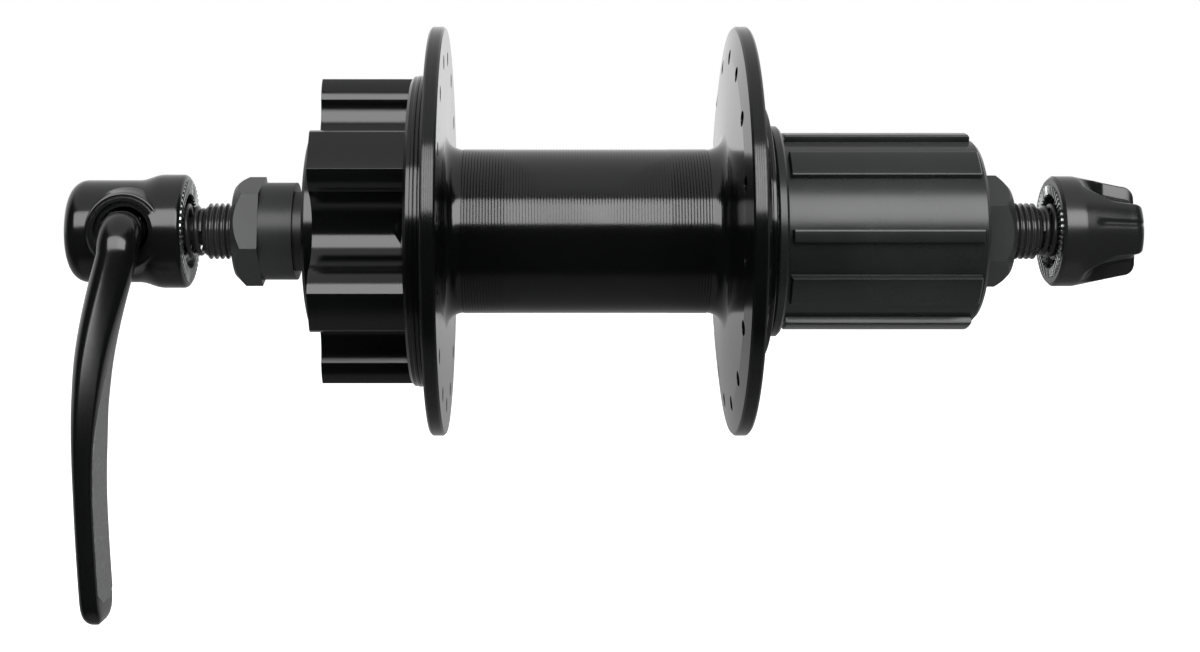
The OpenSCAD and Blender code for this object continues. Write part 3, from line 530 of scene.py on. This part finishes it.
def toothed_ring(name, x_face, x_back, r_in, r_out, body, node):
    outward = 1 if x_face > x_back else -1
    outline = [(x_back, r_in), (x_back, r_out), (x_face, r_out), (x_face, r_in)]
    ring = turned(name, outline, steps=teeth * rows_a_tooth)
    for vertex in ring.data.vertices:
        if abs(vertex.co.x - x_face * mm) < 0.01 * mm:
            turn = math.atan2(vertex.co.z, vertex.co.y) / (2 * math.pi) * teeth
            if (turn + 0.125) % 1 > 0.5:
                vertex.co.x -= outward * tooth_depth * mm
    finish(ring, body, bright_steel, [node], crease=20)


toothed_ring("housing_serrations", housing_x1 + 0.2, housing_x1 - 1.3, 6.6, 8.98, "housing", "housing_teeth")
toothed_ring("nut_serrations", nut_x0 - 0.2, nut_x0 + 1.3, 6.6, 8.15, "nut", "nut_teeth")

# %% [markdown]
# ## Lever
#
# The lever starts as a round shaft, turns down in an elbow, and flattens into a curved paddle. Its
# outer face is rounded and its inner face, towards the hub, is flat. A superellipse gives all of
# these sections: the higher its power, the flatter the sides. Each half has its own power.

# %% Lever: how its section changes along the handle
root_r = 3.55
paddle_half_w = 5.5
paddle_half_t = 1.95
paddle_lean_y = 2.0
boss_y = -9.5
lever_y = boss_y - 0.3 - root_r
elbow_r = root_r + 0.15
handle_len = -lever_tip_z - elbow_r
section_points = 40


def power_point(turn, power):
    """A point of a unit superellipse."""
    c, s = math.cos(turn), math.sin(turn)
    return (math.copysign(abs(c) ** (2 / power), c), math.copysign(abs(s) ** (2 / power), s))


def step_up(t):
    """0 before, 1 after, and smooth between."""
    t = max(0.0, min(1.0, t))
    return t * t * (3 - 2 * t)


def handle_ring(t):
    """The section at a share t of the handle's length."""
    grow = 0.5 - 0.5 * math.cos(math.pi * min(1, t / 0.62))
    half_t = root_r + (paddle_half_t - root_r) * step_up(t / 0.7)
    half_w = root_r + (paddle_half_w - root_r) * grow
    if t > 0.93:
        tip = (t - 0.93) / 0.07
        half_w *= math.sqrt(max(0.12, 1 - 0.88 * tip * tip))
        half_t *= math.sqrt(max(0.2, 1 - 0.8 * tip ** 4))
    middle = pivot_x - 2.2 * math.sin(math.pi / 2 * min(1, 3 * t)) - 1.5 * math.sin(math.pi * t)
    middle -= 0.8 * step_up(t / 0.5)
    depth = lever_y - paddle_lean_y * step_up(t / 0.6)
    ring = []
    for k in range(section_points):
        turn = 2 * math.pi * (k + 0.5) / section_points
        flat = 2 + 5 * grow if math.cos(turn) > 0 else 2 + 0.6 * grow
        u, v = power_point(turn, flat)
        ring.append((middle + half_t * u, depth - half_w * v, -elbow_r - t * handle_len))
    return ring


# %% Model the lever
lever_rings = []
for y in (boss_y + 0.8, boss_y + 0.1):
    lever_rings.append([(pivot_x + root_r * math.cos(a), y, root_r * math.sin(a))
                        for a in [2 * math.pi * (k + 0.5) / section_points for k in range(section_points)]])
elbow_y = lever_y + elbow_r
for i in range(1, 13):
    bend = math.radians(90 * i / 13)
    ring = []
    for k in range(section_points):
        turn = 2 * math.pi * (k + 0.5) / section_points
        reach = elbow_r + root_r * math.sin(turn)
        ring.append((pivot_x + root_r * math.cos(turn), elbow_y - reach * math.sin(bend),
                     -elbow_r + reach * math.cos(bend)))
    lever_rings.append(ring)
for i in range(37):
    lever_rings.append(handle_ring(1 - (1 - i / 36) ** 1.4))
forged_lever = loft("forged_lever", lever_rings)
finish(forged_lever, "lever", forged_black, ["lever"], crease=40)

# %% [markdown]
# The flat inner face carries a rough grey panel, where the maker's lettering would be. The panel
# is left blank. It starts as a point near the elbow and widens with the paddle.

# %% Model the grip panel
panel_rings = []
for i in range(31):
    t = 0.2 + 0.74 * i / 30
    ring = handle_ring(t)
    face_x = max(p[0] for p in ring)
    mid_y = (ring[0][1] + ring[-1][1]) / 2
    half = 0.2 + 4.5 * step_up((t - 0.19) / 0.36) * step_up((0.955 - t) / 0.03)
    z = ring[0][2]
    panel_rings.append([(face_x + 0.03, mid_y - half, z), (face_x + 0.03, mid_y + half, z),
                        (face_x - 0.5, mid_y + half, z), (face_x - 0.5, mid_y - half, z)])
grip_panel = loft("grip_panel", panel_rings)
finish(grip_panel, "lever", panel_grey, crease=30)

# %% [markdown]
# ## Cam housing
#
# The housing is a short round barrel with a domed left end and a wider rim, and a boss with fine
# rings stands where the lever's shaft goes in. The barrel is turned about the axle and the boss
# about the shaft. The pocket of the rod's eye and the bores of the cam are cut out of both.

# %% Model the cam housing
end, face = housing_x0, housing_x1
housing_r = 9.0
rim_rise = 0.98
rim_start, rim_run = face - 8.6, 4.4
dome_round, rim_round = 3.0, 0.9
seat_r = 6.4
housing_outline = [(end, 0), (end + 0.06, 2.6), (end + 0.25, 4.6), (end + 0.6, 6.2)]
housing_outline += arc_points(end + 3.6, housing_r - dome_round, dome_round, 172, 90, 9)
housing_outline += [(rim_start, housing_r)]
for i in range(1, 9):
    swell = 0.5 - 0.5 * math.cos(math.pi * i / 8)
    housing_outline.append((rim_start + rim_run * i / 8, housing_r + rim_rise * swell))
housing_outline += arc_points(face - rim_round, housing_r + rim_rise - rim_round, rim_round, 90, 10, 5)
housing_outline += [(face, housing_r), (face - 1.4, housing_r), (face - 1.4, seat_r),
                    (face - 3.6, seat_r), (face - 3.6, 0)]
cam_housing = turned("cam_housing", housing_outline, steps=128)
boss_outline = [(boss_y, 5.1), (boss_y, 5.75), (boss_y + 0.12, 5.85), (boss_y + 0.12, 6.2), (boss_y, 6.3),
                (boss_y + 0.05, 6.5), (boss_y + 0.5, 6.7), (boss_y + 1.6, 6.9), (boss_y + 3.4, 7.6),
                (boss_y + 3.6, 0), (boss_y + 0.7, 0), (boss_y + 0.7, 5.1)]
boss = turned("boss", boss_outline, steps=96, centre=(pivot_x, 0, 0), axis="Y")
combine(cam_housing, boss, "UNION")
back_boss = turned("back_boss", [(5.0, 0), (5.0, 6.7), (9.1, 6.7), (9.5, 6.3), (9.5, 0)], steps=96,
                   centre=(pivot_x, 0, 0), axis="Y")
combine(cam_housing, back_boss, "UNION")


def box_between(name, low, high):
    deselect()
    bpy.ops.mesh.primitive_cube_add(size=1)
    piece = bpy.context.object
    piece.name = name
    piece.dimensions = (Vector(high) - Vector(low)) * mm
    piece.location = (Vector(high) + Vector(low)) / 2 * mm
    bpy.ops.object.transform_apply(location=True, rotation=True, scale=True)
    return piece


pocket = box_between("pocket", (pivot_x - 6.2, -2.6, -6.3), (face - 3.0, 2.6, 6.3))
combine(cam_housing, pocket, "DIFFERENCE")
cam_bore_r = 4.25
bore_outline = [(boss_y - 1, 0), (boss_y - 1, 5.1), (boss_y + 0.7, 5.1), (boss_y + 0.7, cam_bore_r),
                (3.1, cam_bore_r), (3.1, 0)]
bore = turned("bore", bore_outline, steps=72, centre=(pivot_x, 0, 0), axis="Y")
combine(cam_housing, bore, "DIFFERENCE")
back_bore = turned("back_bore", [(2.0, 0), (2.0, 2.25), (11, 2.25), (11, 0)], steps=48,
                   centre=(pivot_x, 0, 0), axis="Y")
combine(cam_housing, back_bore, "DIFFERENCE")
finish(cam_housing, "housing", forged_black, ["qr_housing"], crease=32)

# %% [markdown]
# ## Adjusting nut
#
# The nut has a round rim and then three lobes with flat, sunk windows between them, where fingers
# hold it. One function gives its radius at every place and angle: the round cone of the body, cut
# down to a flat in each window, with a shallow groove along each lobe.

# %% Model the adjusting nut
nut_r = 9.68
nut_nose_r = 7.8
nut_len = nut_x1 - nut_x0
rim_len = 3.7
nose_round = 2.0
window_turn, window_depth = 63, 2.3
groove_turn, groove_depth = 10, 0.25
ring_room_r, thread_room_r = 8.2, 4.5


def nut_radius(x, turn):
    body = nut_r - (nut_r - nut_nose_r) * max(0, x - rim_len) / (nut_len - rim_len - nose_round)
    if x < 0.5:
        body -= 0.5 - x
    past = x - (nut_len - nose_round)
    if past > 0:
        body = nut_nose_r - nose_round + math.sqrt(max(0.0, nose_round ** 2 - past ** 2))
    from_window = (turn - window_turn + 60) % 120 - 60
    if x > rim_len + 0.4:
        opening = min(1.0, (x - rim_len - 0.4) / 5)
        half = 8 + 18 * opening
        sunk = window_depth * step_up((x - rim_len - 0.4) / 3.5) * step_up((half - abs(from_window)) / 6)
        body -= sunk
    from_groove = (turn - groove_turn + 60) % 120 - 60
    if x > rim_len + 2:
        body -= groove_depth * step_up((x - rim_len - 2) / 1.5) * step_up((5 - abs(from_groove)) / 4)
    return max(body, 1.0)


nut_rings = []
places = [0, 0.25, 0.5, 2.0, 3.4, 3.9] + [4.1 + 0.45 * i for i in range(19)]
places += [nut_len - nose_round + nose_round * math.sin(math.radians(a)) for a in (8, 20, 35, 50, 65, 80, 89)]
for x in places:
    ring = []
    for k in range(180):
        turn = 2 * k
        r = nut_radius(x, turn)
        ring.append((nut_x0 + x, -r * math.cos(math.radians(turn)), r * math.sin(math.radians(turn))))
    nut_rings.append(ring)
fluted_nut = loft("fluted_nut", nut_rings)
room_outline = [(nut_x0 - 1, 0), (nut_x0 - 1, ring_room_r), (nut_x0 + 1.4, ring_room_r),
                (nut_x0 + 1.4, seat_r), (nut_x0 + 3.9, seat_r), (nut_x0 + 3.9, thread_room_r),
                (nut_x0 + 13.3, thread_room_r), (nut_x0 + 13.3, 0)]
room_inside = turned("room_inside", room_outline, steps=72)
combine(fluted_nut, room_inside, "DIFFERENCE")
finish(fluted_nut, "nut", nut_black, ["nut_shell"], crease=28)

# %% [markdown]
# ## Freehub body
#
# The body is turned, with the lip that the sprockets stop against, the races of both ball rows and
# the bore. Nine splines stand on it, one of them narrow, and each is a loft with rounded edges: a
# sharp edge would stay dark, where a real one shows a fine bright line. Inside sits the ratchet.

# %% Model the freehub body
spline_r, root_of_spline = 17.28, 16.0
lip_r = 18.48
x_in = free_x0
race_in, race_out = x_in + 4.6, free_x1 - 11.0
race_r, race_round, race_half = 13.3, 1.69, 1.4
bore_r, mouth_r, seal_seat_r = 12.35, 14.25, 15.2
ratchet_x0, ratchet_x1 = x_in + 7.2, x_in + 16.2
hub_outline = [(x_in, seal_seat_r), (x_in, lip_r - 0.35), (x_in + 0.3, lip_r), (x_in + 1.4, lip_r),
               (x_in + 1.8, lip_r - 0.4), (x_in + 1.8, root_of_spline), (free_x1 - 0.6, root_of_spline),
               (free_x1, root_of_spline - 0.6), (free_x1, mouth_r), (race_out + race_half, mouth_r)]
hub_outline += arc_points(race_out, race_r, race_round, 34, 180, 8)
hub_outline += [(race_out - race_half, bore_r), (ratchet_x1, bore_r), (ratchet_x1, 13.6),
                (ratchet_x0, 13.6), (ratchet_x0, bore_r), (race_in + race_half, bore_r)]
hub_outline += arc_points(race_in, race_r, race_round, 0, 146, 8)
hub_outline += [(race_in - race_half, mouth_r), (x_in + 2, mouth_r), (x_in + 2, seal_seat_r)]
hub_shape = turned("splined_body", hub_outline, steps=160)


def spline_ring(x, top_r, low, high):
    """Section of one spline, from angle low to angle high, seen from the lever side."""
    corner = [(15.7, 0.0), (top_r - 0.25, 0.0), (top_r - 0.07, 0.24), (top_r, 0.83)]
    points = [(r, low + a) for r, a in corner]
    points += [(top_r, low + 0.83 + (high - low - 1.66) * i / 12) for i in range(1, 12)]
    points += [(r, high - a) for r, a in reversed(corner)]
    return [(x, -r * math.cos(math.radians(a)), r * math.sin(math.radians(a))) for r, a in points]


splines = [hub_shape]
spline_x0, spline_x1 = x_in + 2.6, free_x1 - 1.2
spline_count, spline_width, narrow_width = 9, 19, 7.5
spline_ends = ((spline_x0, spline_r - 0.25), (spline_x0 + 0.2, spline_r),
               (spline_x1 - 0.2, spline_r), (spline_x1, spline_r - 0.25))
for i in range(spline_count):
    low = 3 + 360 / spline_count * i - spline_width / 2
    high = low + (narrow_width if i == 0 else spline_width)
    rings = [spline_ring(x, r, low, high) for x, r in spline_ends]
    splines.append(loft(f"spline_{i}", rings))
splined_body = join("splined_body", splines)
finish(splined_body, "freehub", spline_black, ["freehub_body"], crease=40)

# %% Model the ratchet inside it
ratchet_teeth, first_tooth, tooth_rise = 24, 27.5, 1.15
tooth_turn = 360 / ratchet_teeth
ratchet_outline = [(ratchet_x0, bore_r), (ratchet_x0, 13.9), (ratchet_x1, 13.9), (ratchet_x1, bore_r)]
ratchet = turned("ratchet", ratchet_outline, steps=ratchet_teeth * 8)
for vertex in ratchet.data.vertices:
    r = math.hypot(vertex.co.y, vertex.co.z) / mm
    if r < 13:
        turn = math.degrees(math.atan2(vertex.co.z, -vertex.co.y)) - first_tooth
        rise = (turn % tooth_turn) / tooth_turn
        grow = (bore_r + tooth_rise * rise) / r
        vertex.co.y *= grow
        vertex.co.z *= grow
finish(ratchet, "freehub", bearing_steel, crease=20)

# %% [markdown]
# ## Fillet and steps of the shell
#
# The floor between the bolt lobes runs up into the flange's ring in a round fillet. Fine steps,
# left by the turning tool, go round that ring and round the cone behind the other flange.

# %% Model the fillet and the steps
ring_x = left_flange_in - flange_t - 2.8
fillet_outline = arc_points(ring_x - 3.2, 17.55 + 3.2, 3.2, -90, -4, 10)
fillet_outline += [(ring_x + 0.3, 20.6), (ring_x + 0.3, 17.2), (ring_x - 3.2, 17.2)]
mount_fillet = turned("mount_fillet", fillet_outline, steps=144)
finish(mount_fillet, "shell", mount_black, crease=30)

step_outline = ring_lines(ring_x + 0.55, ring_x + 2.6, 27.2, 0.68, lambda x: 0.1)
step_outline += [(ring_x + 2.6, 26.9), (ring_x + 0.55, 26.9)]
mount_steps = turned("mount_steps", step_outline, steps=180)
finish(mount_steps, "shell", shell_black, crease=12)

cone_x0, cone_r0, cone_r1 = right_flange_in + flange_t, 24.6, 20.8
cone_outline = []
for i in range(4):
    x = cone_x0 + 0.15 + 0.72 * i
    r = cone_r0 + 0.1 + (cone_r1 - cone_r0) * (x - cone_x0) / 3.2
    cone_outline += [(x, r), (x + 0.6, r - 0.05)]
cone_outline += [(cone_x0 + 3.1, cone_r1 - 0.3), (cone_x0 + 0.15, cone_r1 - 0.3)]
cone_steps = turned("cone_steps", cone_outline, steps=180)
finish(cone_steps, "shell", shell_black, crease=12)

# %% [markdown]
# ## Floor, light and camera
#
# A pale floor lies just under the lever's tip. The hub stands in a white room, but black parts
# only look black when they mirror something dark. So the camera sees white, while reflections see
# a room that is dark where the camera stands, and pale behind and overhead. A long panel above in
# front draws the bright band along the barrel, and a dimmer one carries it on to the lever's side.

# %% Floor
deselect()
bpy.ops.mesh.primitive_plane_add(size=8, location=(0, 0, (lever_tip_z - 1) * mm))
floor = bpy.context.object
floor.name = "floor"
pale = bpy.data.materials.new("pale_floor")
pale.use_nodes = True
pale_shader = pale.node_tree.nodes["Principled BSDF"]
pale_shader.inputs["Base Color"].default_value = (0.9, 0.9, 0.9, 1)
pale_shader.inputs["Roughness"].default_value = 1.0
pale_shader.inputs["Specular IOR Level"].default_value = 0.0
pale_shader.inputs["Emission Color"].default_value = (1, 1, 1, 1)
pale_shader.inputs["Emission Strength"].default_value = 0.75
floor.data.materials.append(pale)
floor.visible_glossy = False

# %% The room: white to the eye, graded in reflections
world = bpy.context.scene.world or bpy.data.worlds.new("studio")
bpy.context.scene.world = world
world.use_nodes = True
sky = world.node_tree
room = sky.nodes["Background"]
direction = sky.nodes.new("ShaderNodeSeparateXYZ")
sky.links.new(sky.nodes.new("ShaderNodeTexCoord").outputs["Generated"], direction.inputs["Vector"])


def ramp(source, low, high, start, end):
    """A smooth rise or fall of brightness between two values of a direction."""
    step = sky.nodes.new("ShaderNodeMapRange")
    step.interpolation_type = "SMOOTHSTEP"
    for socket, value in (("From Min", low), ("From Max", high), ("To Min", start), ("To Max", end)):
        step.inputs[socket].default_value = value
    sky.links.new(source, step.inputs["Value"])
    return step.outputs["Result"]


def blend_of(how, one, other):
    node = sky.nodes.new("ShaderNodeMath")
    node.operation = how
    sky.links.new(one, node.inputs[0])
    sky.links.new(other, node.inputs[1])
    return node.outputs["Value"]


height = direction.outputs["Z"]
away = ramp(direction.outputs["Y"], -0.1, 0.5, 0.0, 1.0)
behind = blend_of("MULTIPLY", away, ramp(height, -0.09, 0.06, 0.4, 1.0))
behind = blend_of("MULTIPLY", behind, ramp(height, -0.9, -0.1, 0.45, 1.0))
behind = blend_of("MULTIPLY", behind, ramp(height, 0.1, 0.7, 1.0, 0.75))
overhead = ramp(height, 0.66, 0.78, 0.0, 0.75)
underfoot = ramp(height, -0.83, -0.95, 0.0, 0.2)
graded = blend_of("MAXIMUM", blend_of("MAXIMUM", behind, overhead), underfoot)
eye = sky.nodes.new("ShaderNodeLightPath").outputs["Is Camera Ray"]
seen = sky.nodes.new("ShaderNodeMix")
seen.data_type = "FLOAT"
sky.links.new(eye, seen.inputs["Factor"])
sky.links.new(graded, seen.inputs["A"])
seen.inputs["B"].default_value = 1.0
sky.links.new(seen.outputs["Result"], room.inputs["Strength"])
room.inputs["Color"].default_value = (1, 1, 1, 1)
bpy.context.scene.view_settings.view_transform = "Standard"


# %% Lights
panel_w, panel_h = 300, 172


def panel(name, place, aim, brightness):
    """A soft panel; its brightness is the same wherever it is seen from."""
    deselect()
    bpy.ops.object.light_add(type="AREA", location=Vector(place) * mm)
    lamp = bpy.context.object
    lamp.name = name
    lamp.rotation_euler = (Vector(aim) - Vector(place)).to_track_quat("-Z", "Y").to_euler()
    lamp.data.shape = "RECTANGLE"
    lamp.data.size, lamp.data.size_y = panel_w * mm, panel_h * mm
    lamp.data.energy = brightness * math.pi * panel_w * mm * panel_h * mm
    print(f"{name}: {lamp.data.energy:.2f} W")


for name, x, brightness in (("right_panel", 134, 7.0), ("left_panel", -166, 6.0)):
    panel(name, (x, -250, 128), (x, 0, 0), brightness)

# %% Camera
bpy.ops.object.camera_add(location=(-13.3 * mm, -314 * mm, 0), rotation=(math.pi / 2, 0, 0))
camera = bpy.context.object
camera.name = "camera"
camera.data.sensor_width = 36
camera.data.lens = 53.5
camera.data.shift_x = 0.045
camera.data.shift_y = -0.079
camera.data.clip_start = 0.01
bpy.context.scene.camera = camera
